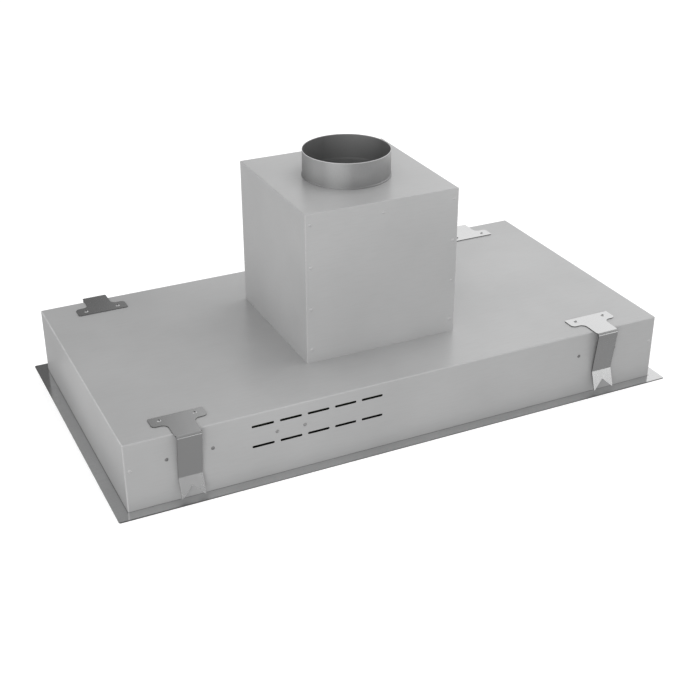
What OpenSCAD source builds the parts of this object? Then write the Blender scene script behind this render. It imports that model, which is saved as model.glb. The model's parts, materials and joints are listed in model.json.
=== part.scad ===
// Ceiling range hood: a flat sheet-metal casing that is pushed up into a hole in the ceiling,
// with a motor box and a duct collar above it and a perimeter suction panel below it.
// The hood stands on its flange. The origin is the centre of the flange's underside,
// X runs left to right, Y front to back and Z up.

/* [Casing] */
// Length of the casing, left to right
casing_w = 960; // [920:5:1100]
// Depth of the casing, front to back
casing_d = 490; // [480:5:560]
// Height of the casing above the flange
casing_h = 117; // [112:1:140]
// Thickness of the casing and motor box sheet
sheet_t = 1; // [0.8:0.1:1.4]
// Outside radius of the folded edges
bend_r = 2; // [1.8:0.1:3]
// Width of the folded foot round the open underside
casing_foot = 12; // [10:0.5:13]

/* [Vent slots] */
// Length of one vent slot
slot_l = 37; // [30:0.5:42]
// Height of one vent slot
slot_h = 4; // [3:0.1:5]
// Distance from one slot to the next in a row
slot_pitch = 46.7; // [44:0.1:50]
// Number of slots in a row
slot_count = 5; // [3:1:6]
// Start of the first slot, from the casing's left end
slot_start = 202; // [195:1:215]
// Upper row of slots, below the casing's top
slot_drop = 22; // [19:0.5:24]
// Distance between the two rows of slots
slot_row_gap = 36; // [32:0.5:38]

/* [Flange] */
// Reach of the flange past the casing, all round
flange_over = 20; // [15:1:35]
// Thickness of the flange sheet
flange_t = 1.5; // [1.2:0.1:2]
// Radius of the flange's corners
flange_corner_r = 3; // [2:0.5:9]
// Width of the flange inside the casing, left and right
side_border = 75; // [72:1:90]
// Width of the flange inside the casing, front and back
front_border = 26; // [25:0.5:36]
// Height of the upstand round the opening, from the flange's underside
upstand_h = 44; // [42:0.5:48]
// Thickness of the upstand
upstand_t = 1.2; // [1:0.1:1.5]

/* [Motor box] */
// Width of the motor box
box_w = 272; // [266:1:310]
// Depth of the motor box
box_d = 272; // [266:1:300]
// Height of the motor box above the casing
box_h = 259; // [250:1:290]
// Width of the folded edges behind the front cover
box_fold = 16; // [14:0.5:18]
// Width of the folded foot on the casing
box_foot = 15; // [12:0.5:18]
// Radius on the front cover's edges
cover_edge_r = 0.7; // [0.4:0.1:0.8]

/* [Duct collar] */
// Outside diameter of the collar
collar_dia = 147; // [140:1:150]
// Height of the collar above the motor box
collar_h = 44; // [38:1:60]
// Thickness of the collar sheet
collar_t = 0.8; // [0.6:0.1:1.2]
// Depth of the collar below the motor box's top
collar_drop = 45; // [43:0.5:48]
// Height of the bead at the foot of the collar
bead_h = 3; // [2:0.2:4]
// Reach of the bead past the collar
bead_out = 1.2; // [0.8:0.1:1.6]

/* [Damper] */
// Radius of the damper pin
pin_r = 2; // [1.6:0.1:2.4]
// Running clearance of the damper pin and the panel's hinge pins
pin_gap = 0.06; // [0.04:0.01:0.1]
// Thickness of a flap
flap_t = 0.8; // [0.6:0.1:1]
// Clearance between a flap's edge and the collar
flap_edge_gap = 1; // [0.6:0.1:1.5]

/* [Blower] */
// Outside radius of the fan wheel
wheel_r = 70; // [66:0.5:71]
// Width of the fan wheel
wheel_w = 110; // [100:1:112]
// Number of blades
blade_count = 38; // [30:1:44]
// Depth of a blade, from its outer to its inner edge
blade_depth = 13; // [11:0.5:14]
// Radius of a blade's curve
blade_arc_r = 9; // [8:0.5:12]
// Thickness of a blade
blade_t = 0.8; // [0.6:0.1:1]
// Gap between the wheel and the scroll at the tongue
tongue_gap = 6; // [5:0.5:7]
// Growth of the scroll's radius, from the tongue to the outlet
scroll_growth = 38; // [34:0.5:39]
// Inside width of the scroll
scroll_w = 130; // [128:0.5:134]
// Thickness of the blower's sheet
scroll_t = 1; // [0.8:0.1:1.2]
// Height of the outlet above the fan's axis
outlet_rise = 81; // [80:0.5:83]
// Height of the adaptor from the outlet to the collar
adaptor_h = 26; // [24:0.5:30]
// Radius of the air inlet's throat
inlet_r = 54; // [50:0.5:54]
// Radius of the inlet's rolled lip
lip_r = 8; // [6.5:0.5:8]
// Radius of the motor
motor_r = 38; // [34:0.5:40]
// Radius of the motor shaft
shaft_r = 4; // [3:0.1:5]

/* [Suction panel] */
// Width of the suction gap round the panel
panel_gap = 15; // [14:0.5:17]
// Height of the panel above the flange's underside
panel_lift = 1; // [0.5:0.1:1.5]
// Thickness of the whole panel
panel_h = 15; // [14:0.5:16]
// Thickness of the panel's skin
skin_t = 1.2; // [0.8:0.1:1.5]

/* [Filters] */
// Thickness of a grease filter
filter_h = 9.5; // [9:0.1:10]
// Width of the filter's edge channel
filter_bar = 12; // [10:0.5:14]
// Thickness of the filter's mesh
mesh_t = 5; // [4:0.2:6]
// Width of a mesh strand
strand_w = 3; // [2:0.1:4]
// Length of a mesh diamond
diamond_l = 36; // [34:0.5:44]
// Height of a mesh diamond
diamond_h = 22; // [21:0.5:28]

/* [Ceiling clips] */
// Centre of the left clips, from the casing's left end
clip_left = 99; // [90:1:130]
// Centre of the right clips, from the casing's right end
clip_right = 110; // [100:1:130]
// Thickness of the spring steel
clip_t = 1.5; // [1:0.1:1.8]
// Width of the clip's leaf
clip_leaf_w = 39; // [30:0.5:44]
// Width of the clip's bar
clip_bar_w = 88; // [80:1:96]
// Depth of the clip's bar
clip_bar_d = 26; // [22:0.5:30]
// Reach of the clip's bar over the casing, from the wall
clip_reach = 53.5; // [50:0.5:58]
// Reach of the clip's upper bend past the wall
clip_over = 14.5; // [12:0.5:18]
// Distance of the leaf's waist from the wall
clip_waist = 4; // [3:0.5:6]
// Reach of the clip's tips past the wall
clip_tip_over = 16.5; // [14:0.5:19]
// Height of the clip's tips above the ceiling face
clip_tip_gap = 9.5; // [8:0.5:12]
// Height of the clip's tail
clip_tail_h = 32.5; // [28:0.5:38]
// Height of the notch in the tail
clip_notch_h = 16.5; // [12:0.5:20]

/* [Hidden] */
$fn = 48;

// Cuts run this far past what they cut
overrun = 2;
// Clearance between pieces that fit together
fit_gap = 0.3;
// Clearance of a fixing in its hole
hole_gap = 0.1;

// Heights that the pieces share
casing_top = flange_t + casing_h;
casing_ceiling = casing_top - sheet_t;
box_top = casing_top + box_h;
box_ceiling = box_top - sheet_t;
flange_w = casing_w + 2 * flange_over;
flange_d = casing_d + 2 * flange_over;

// Opening in the flange
open_w = casing_w - 2 * side_border;
open_d = casing_d - 2 * front_border;
open_r = 3;

// Colours
sheet_grey = [0.66, 0.66, 0.67];
flange_steel = [0.56, 0.56, 0.58];
clip_steel = [0.74, 0.74, 0.76];
collar_steel = [0.5, 0.5, 0.51];
zinc = [0.6, 0.62, 0.64];
alloy = [0.78, 0.79, 0.8];
dark_plastic = [0.15, 0.15, 0.16];
board_green = [0.1, 0.32, 0.2];
lens_white = [0.93, 0.93, 0.9];
magnet_grey = [0.25, 0.25, 0.27];

// Rivets: shank, dome and tail
rivet_r = 1.6;
rivet_head_r = 3.1;
rivet_head_h = 1.1;
rivet_tail = 1.5;
// Rivets beside each clip: centre of the pair from the casing's end, and their spacing
pair_left = 102;
pair_right = 120;
pair_spacing = 73;
pair_drop = 41.5;
// Rivets at the casing's corners
corner_rivet_in = 8.5;
corner_rivet_drop = 46;
// Rivets of the electronics box, between slot rows
box_rivet_drop = 40.5;
// Rivets of the motor box's front cover
cover_rivet_in = 8.3;
cover_rivet_top = 17.5;
cover_rivet_low = 23.7;
cover_rivet_count = 4;
cover_rivet_mid = 19;
// Depth of the fold behind the cover's top edge
box_head_fold = 27;
cover_rivet_pitch = (box_h - cover_rivet_top - cover_rivet_low) / (cover_rivet_count - 1);

// Angles under the clips and in the corners
angle_t = 1.2;
angle_margin = 12;
angle_leg = 52;
corner_leg = 16;
corner_post_gap = 6;

// Clip: holes, screws and outline
clip_hole_in = 42;
clip_hole_spacing = 56.5;
screw_r = 1.9;
screw_head_r = 3.4;
screw_head_h = 1.6;
screw_l = 8;
clip_bend_r = 3;
clip_waist_r = 4;
clip_neck_w = 42;
clip_fillet_r = 10;
clip_end_r = 7;
clip_inner_r = 2.5;

// Collar: lower tube, its inner flange and the stop lip
collar_r = collar_dia / 2;
collar_step = 0.5;
tube_r = collar_r - collar_step;
tube_in_r = tube_r - collar_t;
collar_flange_w = 12;
collar_flange_t = 1;
stop_w = 3;
stop_t = 1;
collar_low = box_top - collar_drop;

// Damper: hubs on the pin, and the plate below the axis
hub_r = 3.7;
hub_l = 12;
hub_place_shares = [-0.66, 0.22];
plate_drop = 3.4;
flap_split = 0.6;
flap_r = tube_in_r - flap_edge_gap;
pin_z = collar_low + stop_t + fit_gap + plate_drop;
pin_head_r = 3.2;
pin_head_t = 1.2;

// Scroll: an Archimedean spiral round the fan's axis, in degrees from the back, over the top
tongue_angle = 60;
spiral_step = 6;
spiral_angles = [for (a = [tongue_angle : spiral_step : 360]) a];
function spiral_r(a) =
    wheel_r + tongue_gap + scroll_growth * (a - tongue_angle) / (360 - tongue_angle);
function spiral(more) = [for (a = spiral_angles) (spiral_r(a) + more) * [cos(a), sin(a)]];
function backwards(list) = [for (i = [len(list) - 1 : -1 : 0]) list[i]];
outlet_z = collar_low - adaptor_h;
fan_z = outlet_z - outlet_rise;
scroll_wall_gap = 3;
fan_y = spiral_r(180) + scroll_t + scroll_wall_gap + sheet_t - box_d / 2;
tongue_y = spiral_r(tongue_angle) * cos(tongue_angle);
tongue_z = spiral_r(tongue_angle) * sin(tongue_angle);
outlet_back = spiral_r(360);
adaptor_t = 1;
adaptor_edge = 8;
side_x = scroll_w / 2 + scroll_t;

// Ears that hang the blower from the motor box's top
ear_in = 88;
ear_w = 24;
ear_band = 26;
ear_fold = 14;

// Fan wheel: rings, disc and hub
ring_w = 4;
ring_t = 2;
ring_proud = 0.4;
disc_t = 1.2;
hub_body_r = 10;
hub_left = 4;
hub_right = 14;
nut_r = 7;
nut_t = 5;
shaft_end = 1;
shaft_gap = 0.05;

// Motor, its arms and rubber bushes
motor_disc_gap = 8;
motor_groove = 1.5;
motor_shoulder = 6;
motor_neck_r = 14;
motor_neck_l = 3;
shaft_depth = 30;
bush_r = 6;
bush_l = 5;
bush_at = 71;
mount_t = 2;
mount_ring_r = 30;
mount_hole_r = 16;
mount_arm_w = 14;
mount_left = -side_x - bush_l - mount_t;
mount_angles = [90, 210, 330];

// Capacitor on the motor box's right wall
cap_r = 15;
cap_l = 62;
cap_y_in = 41;
cap_rise = 70;
cap_lid_r = 11;
cap_lid_t = 1.2;
cap_pin_r = 1.2;
cap_pin_h = 6;
clamp_t = 1.2;
clamp_h = 14;
clamp_foot_w = 48;
clamp_foot_d = 4;

// Electronics box behind the vent slots, and the light driver
elec_margin = 12;
elec_h = 66;
elec_d = 44;
elec_t = 2;
elec_top = casing_ceiling - bend_r;
elec_w = (slot_count - 1) * slot_pitch + slot_l + 2 * elec_margin;
elec_x = slot_start - casing_w / 2 + elec_w / 2 - elec_margin;
board_t = 1.6;
board_in = 16;
relay_l = 22;
relay_h = 14;
relay_d = 12;
driver_l = 120;
driver_w = 36;
driver_h = 24;
driver_x = 230;
driver_foot = 10;
driver_foot_t = 2;

// Cable gland on the casing's top, behind the motor box
gland_x = 100;
gland_y_in = 30;
gland_r = 8;
gland_bore_r = 4;
gland_hex_r = 12;
gland_cap_r = 10;
gland_hex_t = 5;
gland_dome_h = 12;
gland_thread = 8;
gland_nut_t = 4;

// Filter support: skirt, ledge and cross bars
skirt_t = 1.2;
skirt_h = 16;
ledge_w = 12;
support_lip = 6;
filter_gap = 1;
filter_count = 3;
filter_w = (open_w - 2 * skirt_t - (filter_count + 1) * filter_gap) / filter_count;
filter_d = open_d - 2 * skirt_t - 2 * filter_gap;
filter_pitch = filter_w + filter_gap;
filter_z = upstand_h - filter_h;
filter_r = 4;
groove_in = 3;
mesh_w = filter_w - 2 * filter_bar + 2 * groove_in;
mesh_d = filter_d - 2 * filter_bar + 2 * groove_in;
mesh_cols = floor((filter_w - 2 * filter_bar) / diamond_l);
mesh_rows = floor((filter_d - 2 * filter_bar) / diamond_h);

// Filter latch: a sprung slider under the front channel
latch_w = 30;
latch_l = 22;
latch_t = 3;
latch_in = 3;
latch_tongue_w = 16;
latch_reach = 3;
latch_tab_h = 6;
latch_tab_t = 2;
rail_t = 1.2;
rail_lip = 1.5;
latch_top = filter_z - fit_gap;
latch_front = latch_in - filter_d / 2;
latch_back = latch_front + latch_l;

// Suction panel and its hinges
panel_w = open_w - 2 * panel_gap;
panel_d = open_d - 2 * panel_gap;
panel_top = panel_lift + panel_h;
panel_corner_r = 3;
back_t = 1;
hinge_out = 6;
hinge_y = panel_d / 2 + hinge_out;
hinge_rise = 7.5;
hinge_z = panel_lift + hinge_rise;
knuckle_r = 3.8;
knuckle_l = 12;
knuckle_gap = 0.4;
outer_knuckle_l = 8;
hinge_in = 90;
hinge_x = panel_w / 2 - hinge_in;
leaf_t = 1;
leaf_h = 10;
bracket_t = 1.5;
bracket_h = 17;
bracket_web_h = 6;
hinge_pin_r = 2;

// Magnetic catches at the panel's front
catch_x_in = 140;
catch_x = panel_w / 2 - catch_x_in;
catch_w = 34;
catch_arm = 34;
catch_arm_t = 1.2;
catch_plate_h = 6;
magnet_w = 28;
magnet_d = 12;
magnet_h = 3.6;

// Spot lights in the flange, and the remote control's receiver
led_r = 22;
led_wall = 4;
led_recess = 0.3;
led_lens_t = 2.4;
led_body_h = 20;
led_fin_h = 2.5;
led_fin_in = 4;
led_y_in = 83;
led_x = (open_w / 2 + upstand_t + casing_w / 2 - casing_foot) / 2;
led_y = open_d / 2 - led_y_in;
sensor_r = 3.5;
sensor_t = 2.2;
sensor_w = 14;
sensor_d = 9;
sensor_h = 8;
sensor_y = -(open_d / 2 + upstand_t + casing_d / 2 - casing_foot) / 2;

// Lays an outline in the Y-Z plane and gives it a length along X
module along_x(length) {
    rotate([90, 0, 90]) linear_extrude(length, center = true) children();
}

// Lays an outline in the X-Z plane and gives it a length along Y
module along_y(length) {
    rotate([90, 0, 0]) linear_extrude(length, center = true) children();
}

// Cylinder along X, centred
module rod_x(length, r) {
    rotate([0, 90, 0]) cylinder(h = length, r = r, center = true);
}

// Rectangle with round corners, centred
module round_rect(w, d, r) {
    square([w - 2 * r, d], center = true);
    square([w, d - 2 * r], center = true);
    for (sx = [-1, 1], sy = [-1, 1])
        translate([sx * (w / 2 - r), sy * (d / 2 - r)]) circle(r);
}

// Block that stands on Z = 0, with its upright and top edges rounded as folded sheet is
module folded_block(w, d, h, r) {
    intersection() {
        linear_extrude(h) round_rect(w, d, r);
        along_x(w + overrun) round_rect(d, 2 * h, r);
        along_y(d + overrun) round_rect(w, 2 * h, r);
    }
}

// Outline with a hole straight through, as a ring of sheet
module sheet_ring(h, w, d, r, hole_w, hole_d, hole_r) {
    difference() {
        linear_extrude(h) round_rect(w, d, r);
        translate([0, 0, -overrun]) linear_extrude(h + 2 * overrun) round_rect(hole_w, hole_d, hole_r);
    }
}

// Low dome that stands on Z = 0, cut from a ball
module dome(r, h) {
    ball_r = (r * r + h * h) / (2 * h);
    intersection() {
        cylinder(h = h, r = r);
        translate([0, 0, h - ball_r]) sphere(ball_r);
    }
}

// Places of the rivets on the front wall (side -1) and the back wall (side 1)
function wall_rivets(side) = concat(
    [for (s = [-1, 1]) [pair_left - casing_w / 2 + s * pair_spacing / 2, side, pair_drop]],
    [for (s = [-1, 1]) [casing_w / 2 - pair_right + s * pair_spacing / 2, side, pair_drop]],
    [for (s = [-1, 1]) [s * (casing_w / 2 - corner_rivet_in), side, corner_rivet_drop]]
);
// Places of the rivets that hold the electronics box, under the gaps between slots
function elec_rivets() = [
    for (i = [1, 2])
        [slot_start - casing_w / 2 + i * slot_pitch - (slot_pitch - slot_l) / 2, -1, box_rivet_drop]
];
casing_rivet_places = concat(wall_rivets(-1), wall_rivets(1), elec_rivets());

// Blind rivet whose head lies on a face that looks along -Y at the origin
module rivet(grip) {
    rotate([90, 0, 0]) {
        dome(rivet_head_r, rivet_head_h);
        translate([0, 0, -grip - rivet_tail]) cylinder(h = grip + rivet_tail, r = rivet_r);
    }
}
module at_casing_rivets(places) {
    for (p = places)
        translate([p[0], p[1] * casing_d / 2, casing_top - p[2]])
            rotate([0, 0, p[1] > 0 ? 180 : 0])
                children();
}

module casing_rivets() {
    color(zinc) at_casing_rivets(casing_rivet_places) rivet(sheet_t + angle_t);
}

// Hole for a rivet's shank through the wall and what is behind it
module rivet_hole() {
    rotate([90, 0, 0]) cylinder(h = 2 * (elec_t + sheet_t + overrun), r = rivet_r + hole_gap, center = true);
}

// Places of the four clips: centre along X, and side along Y
clip_xs = [clip_left - casing_w / 2, casing_w / 2 - clip_right];
pair_xs = [pair_left - casing_w / 2, casing_w / 2 - pair_right];

module clip_screw_holes(bottom, height) {
    for (x = clip_xs, side = [-1, 1], s = [-1, 1])
        translate([x + s * clip_hole_spacing / 2, side * (casing_d / 2 - clip_hole_in), bottom])
            cylinder(h = height, r = screw_r + hole_gap);
}

// Rows of slots through the front wall and the electronics box behind it
module vent_slots(depth) {
    for (row = [0, 1], i = [0 : slot_count - 1])
        translate([
            slot_start - casing_w / 2 + i * slot_pitch + slot_l / 2,
            -casing_d / 2,
            casing_top - slot_drop - row * slot_row_gap
        ])
            along_y(depth) round_slot(slot_l, slot_h);
}

// Slot outline with round ends, centred
module round_slot(l, h) {
    square([l - h, h], center = true);
    for (s = [-1, 1]) translate([s * (l - h) / 2, 0]) circle(h / 2);
}

// One wall of a welded box, mitred at its corners: turn is 0 for the front, 90 for the right
module mitred_wall(w, d, depth, low, high, turn) {
    along = turn % 180 == 0 ? w : d;
    across = turn % 180 == 0 ? d : w;
    intersection() {
        children();
        rotate([0, 0, turn]) translate([0, 0, low]) linear_extrude(high - low) polygon([
            [-along / 2 - overrun, -across / 2 - overrun],
            [along / 2 + overrun, -across / 2 - overrun],
            [along / 2 - depth, depth - across / 2],
            [depth - along / 2, depth - across / 2]
        ]);
    }
}

// Top sheet of a welded box, cut off just under its folded edges
module box_lid(w, d, low) {
    intersection() {
        children();
        translate([-w, -d, low]) cube([2 * w, 2 * d, bend_r + overrun]);
    }
}

// The whole casing, from which each of its welded sheets is cut
module casing_form() {
    difference() {
        translate([0, 0, flange_t]) folded_block(casing_w, casing_d, casing_h, bend_r);
        translate([0, 0, flange_t + sheet_t])
            folded_block(
                casing_w - 2 * sheet_t, casing_d - 2 * sheet_t, casing_h - 2 * sheet_t, bend_r - sheet_t
            );
        translate([0, 0, flange_t - overrun])
            linear_extrude(sheet_t + 2 * overrun)
                square([casing_w - 2 * casing_foot, casing_d - 2 * casing_foot], center = true);
        translate([0, 0, casing_ceiling - overrun])
            linear_extrude(sheet_t + 2 * overrun)
                square([box_w - 2 * box_foot, box_d - 2 * box_foot], center = true);
        vent_slots(2 * (sheet_t + overrun));
        at_casing_rivets(casing_rivet_places) rivet_hole();
        clip_screw_holes(casing_ceiling - overrun, sheet_t + 2 * overrun);
        translate([gland_x, casing_d / 2 - gland_y_in, casing_ceiling - overrun])
            cylinder(h = sheet_t + 2 * overrun, r = gland_r + hole_gap);
    }
}

module casing_wall(turn) {
    color(sheet_grey)
        mitred_wall(
            casing_w, casing_d, casing_foot + overrun, flange_t - overrun, casing_top - bend_r, turn
        )
            casing_form();
}

module casing_top_sheet() {
    color(sheet_grey) box_lid(casing_w, casing_d, casing_top - bend_r) casing_form();
}

module casing_front() {
    casing_wall(0);
}

module casing_back() {
    casing_wall(180);
}

module casing_ends() {
    casing_wall(90);
    casing_wall(-90);
}

// Angles in the casing's upright corners, riveted to the front and back walls
module corner_angles() {
    low = flange_t + sheet_t + corner_post_gap;
    high = casing_ceiling - corner_post_gap;
    color(zinc) difference() {
        for (sx = [-1, 1], sy = [-1, 1])
            scale([sx, sy, 1])
                translate([casing_w / 2 - sheet_t, casing_d / 2 - sheet_t, low]) {
                    translate([-corner_leg, -angle_t, 0]) cube([corner_leg - bend_r, angle_t, high - low]);
                    translate([-angle_t - bend_r, -corner_leg, 0])
                        cube([angle_t, corner_leg, high - low]);
                }
        at_casing_rivets(casing_rivet_places) rivet_hole();
    }
}

// Angles under the casing's top that the clips are screwed to
module clip_angles() {
    width = pair_spacing + 2 * angle_margin;
    inner = casing_d / 2 - sheet_t;
    color(zinc) difference() {
        for (x = pair_xs, side = [-1, 1])
            translate([x, 0, casing_ceiling]) scale([1, side, 1]) {
                translate([-width / 2, inner - angle_leg, -angle_t])
                    cube([width, angle_leg - bend_r, angle_t]);
                translate([-width / 2, inner - angle_t, -angle_leg])
                    cube([width, angle_t, angle_leg - bend_r]);
                translate([-width / 2, inner - angle_t - bend_r, -angle_t - bend_r])
                    cube([width, angle_t, angle_t + bend_r]);
                translate([-width / 2, inner - angle_t - bend_r, -angle_t - bend_r])
                    cube([width, angle_t + bend_r, angle_t]);
            }
        at_casing_rivets(casing_rivet_places) rivet_hole();
        clip_screw_holes(casing_ceiling - angle_t - overrun, angle_t + 2 * overrun);
    }
}

module ceiling_flange() {
    color(flange_steel) difference() {
        union() {
            linear_extrude(flange_t) round_rect(flange_w, flange_d, flange_corner_r);
            linear_extrude(upstand_h)
                round_rect(open_w + 2 * upstand_t, open_d + 2 * upstand_t, open_r + upstand_t);
        }
        translate([0, 0, -overrun])
            linear_extrude(upstand_h + 2 * overrun) round_rect(open_w, open_d, open_r);
        for (sx = [-1, 1], sy = [-1, 1])
            translate([sx * led_x, sy * led_y, -overrun])
                cylinder(h = flange_t + 2 * overrun, r = led_r + fit_gap);
        translate([0, sensor_y, -overrun])
            cylinder(h = flange_t + 2 * overrun, r = sensor_r + fit_gap);
        latch_slots();
    }
}

// Slots in the upstand and the skirt for the filters' latches
module latch_slots() {
    for (i = [-1 : 1])
        translate([
            i * filter_pitch - latch_tongue_w / 2 - fit_gap,
            -open_d / 2 - upstand_t - overrun,
            latch_top - latch_t - fit_gap
        ])
            cube([
                latch_tongue_w + 2 * fit_gap,
                upstand_t + skirt_t + 2 * overrun,
                latch_t + 2 * fit_gap
            ]);
}

// The whole motor box without its front cover, from which each of its welded sheets is cut
module motor_box_form() {
    inner_d = box_d - 3 * sheet_t;
    difference() {
        intersection() {
            translate([0, -bend_r, casing_top]) folded_block(box_w, box_d + 2 * bend_r, box_h, bend_r);
            translate([-box_w, sheet_t - box_d / 2, casing_top - overrun])
                cube([2 * box_w, box_d, box_h + 2 * overrun]);
        }
        translate([0, sheet_t / 2, casing_top + sheet_t])
            folded_block(box_w - 2 * sheet_t, inner_d, box_h - 2 * sheet_t, bend_r - sheet_t);
        translate([0, 0, casing_top - overrun])
            linear_extrude(sheet_t + 2 * overrun)
                square([box_w - 2 * box_foot, box_d - 2 * box_foot], center = true);
        translate([box_fold - box_w / 2, -box_d / 2 - overrun, casing_top + box_fold])
            cube([box_w - 2 * box_fold, 2 * (sheet_t + overrun), box_h - box_fold - box_head_fold]);
        translate([0, 0, box_ceiling - overrun])
            cylinder(h = sheet_t + 2 * overrun, r = tube_r + fit_gap);
        at_cover_rivets() rivet_hole();
    }
}

module motor_box_wall(turn) {
    color(sheet_grey)
        mitred_wall(box_w, box_d, box_foot + overrun, casing_top - overrun, box_top - bend_r, turn)
            motor_box_form();
}

module motor_box_top() {
    color(sheet_grey) box_lid(box_w, box_d, box_top - bend_r) motor_box_form();
}

module motor_box_back() {
    motor_box_wall(180);
}

module motor_box_sides() {
    motor_box_wall(90);
    motor_box_wall(-90);
}

// Frame behind the front cover, that the cover is riveted to
module motor_box_frame() {
    motor_box_wall(0);
}

module motor_box_front() {
    color(sheet_grey) difference() {
        intersection() {
            translate([0, 0, casing_top]) folded_block(box_w, box_d, box_h, cover_edge_r);
            translate([-box_w, -box_d / 2 - overrun, casing_top])
                cube([2 * box_w, sheet_t + overrun, box_h + overrun]);
        }
        at_cover_rivets() rivet_hole();
    }
}

// Two columns of rivets down the front cover, and one at the middle of its top edge
module at_cover_rivets() {
    for (s = [-1, 1], i = [0 : cover_rivet_count - 1])
        translate([
            s * (box_w / 2 - cover_rivet_in), -box_d / 2,
            box_top - cover_rivet_top - i * cover_rivet_pitch
        ])
            children();
    translate([0, -box_d / 2, box_top - cover_rivet_mid]) children();
}

module motor_box_rivets() {
    color(zinc) at_cover_rivets() rivet(2 * sheet_t);
}

// Outline of the clip's flat part, seen from above: the wall is at Y = 0 and the bar lies inwards
module clip_plate_outline() {
    bar_y = clip_reach - clip_bar_d;
    difference() {
        union() {
            translate([0, bar_y + clip_bar_d / 2]) clip_bar_outline();
            translate([-clip_neck_w / 2, -clip_plate_out()])
                square([clip_neck_w, clip_plate_out() + bar_y + clip_bar_d / 2]);
            translate([-clip_neck_w / 2 - clip_fillet_r, bar_y - clip_fillet_r])
                square([clip_neck_w + 2 * clip_fillet_r, clip_fillet_r + clip_bar_d / 2]);
        }
        for (s = [-1, 1])
            translate([s * (clip_neck_w / 2 + clip_fillet_r), bar_y - clip_fillet_r])
                circle(clip_fillet_r);
        for (s = [-1, 1])
            translate([s * clip_hole_spacing / 2, clip_hole_in]) circle(screw_r + hole_gap);
    }
}

// The bar: its outer corners are rounder than its inner ones
module clip_bar_outline() {
    r = min(clip_end_r, clip_bar_d / 2);
    square([clip_bar_w - 2 * r, clip_bar_d], center = true);
    translate([0, r / 2]) square([clip_bar_w - 2 * clip_inner_r, clip_bar_d - r], center = true);
    translate([-clip_bar_w / 2, r - clip_bar_d / 2])
        square([clip_bar_w, clip_bar_d - r - clip_inner_r]);
    for (s = [-1, 1]) {
        translate([s * (clip_bar_w / 2 - r), r - clip_bar_d / 2]) circle(r);
        translate([s * (clip_bar_w / 2 - clip_inner_r), clip_bar_d / 2 - clip_inner_r])
            circle(clip_inner_r);
    }
}

// Where the flat part ends and the upper bend starts, past the wall
function clip_plate_out() = clip_over - clip_t - clip_bend_r;

// Leaf and tail as a bent band, in metal-centre points: outwards, and up from the ceiling face
clip_top_z = casing_h + clip_t / 2;
clip_mid_r = clip_bend_r + clip_t / 2;
clip_waist_z = clip_tip_gap + clip_tail_h;
clip_waist_out = clip_waist + clip_t / 2;
clip_tip_out = clip_tip_over - clip_t / 2;
// Angle of the leaf from the upright, leaning back to the wall, and of the tail, leaning out
leaf_lean = atan(
    (clip_over - clip_t / 2 - clip_waist_out) / (clip_top_z - clip_mid_r - clip_waist_z)
);
tail_lean = atan((clip_tip_out - clip_waist_out) / clip_tail_h);
bend_steps = 6;
function bend_points(centre, r, from, to) = [
    for (i = [0 : bend_steps])
        centre + r * [cos(from + (to - from) * i / bend_steps), sin(from + (to - from) * i / bend_steps)]
];
function clip_line(shift) = concat(
    [[clip_plate_out() - clip_bend_r, clip_top_z + shift]],
    bend_points([clip_plate_out(), clip_top_z - clip_mid_r], clip_mid_r + shift, 90, -leaf_lean),
    bend_points(
        [clip_waist_out + clip_waist_r, clip_waist_z],
        clip_waist_r - shift, 180 - leaf_lean, 180 + tail_lean
    ),
    [[clip_tip_out + shift * cos(tail_lean), clip_tip_gap + shift * sin(tail_lean)]]
);

module clip_leaf() {
    difference() {
        along_x(clip_leaf_w)
            polygon(concat(clip_line(clip_t / 2), backwards(clip_line(-clip_t / 2))));
        translate([0, clip_tip_out, clip_tip_gap])
            along_y(2 * clip_tip_over)
                polygon([
                    [-clip_leaf_w / 2, -clip_t],
                    [clip_leaf_w / 2, -clip_t],
                    [0, clip_notch_h]
                ]);
    }
}

// One ceiling clip: side is -1 at the front and 1 at the back
module ceiling_clip(x, side) {
    color(clip_steel)
        translate([x, side * casing_d / 2, flange_t])
            scale([1, side, 1]) {
                translate([0, 0, casing_h])
                    linear_extrude(clip_t) scale([1, -1]) clip_plate_outline();
                clip_leaf();
            }
}

module clip_front_left() {
    ceiling_clip(clip_xs[0], -1);
}

module clip_front_right() {
    ceiling_clip(clip_xs[1], -1);
}

module clip_rear_left() {
    ceiling_clip(clip_xs[0], 1);
}

module clip_rear_right() {
    ceiling_clip(clip_xs[1], 1);
}

// Screws that hold the clips, with low domed heads
module clip_screws() {
    color(zinc)
        for (x = clip_xs, side = [-1, 1], s = [-1, 1])
            translate([
                x + s * clip_hole_spacing / 2, side * (casing_d / 2 - clip_hole_in), casing_top + clip_t
            ]) {
                dome(screw_head_r, screw_head_h);
                translate([0, 0, -screw_l]) cylinder(h = screw_l, r = screw_r);
            }
}

// Collar, in radius and height from the motor box's top: outside, rim, inside, stop lip, flange
module duct_collar() {
    color(collar_steel) difference() {
        translate([0, 0, box_top]) rotate_extrude($fn = 96) polygon([
            [collar_r + bead_out, 0],
            [collar_r + bead_out, bead_h - bead_out],
            [collar_r, bead_h],
            [collar_r, collar_h],
            [collar_r - collar_t, collar_h],
            [collar_r - collar_t, bead_h],
            [tube_in_r, 0],
            [tube_in_r, stop_t - collar_drop],
            [tube_in_r - stop_w, stop_t - collar_drop],
            [tube_in_r - stop_w, -collar_drop],
            [tube_r, -collar_drop],
            [tube_r, -sheet_t - collar_flange_t],
            [tube_r + collar_flange_w, -sheet_t - collar_flange_t],
            [tube_r + collar_flange_w, -sheet_t],
            [tube_r, -sheet_t],
            [tube_r, 0]
        ]);
        translate([0, 0, pin_z]) rod_x(2 * (tube_r + overrun), pin_r + pin_gap);
    }
}

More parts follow.
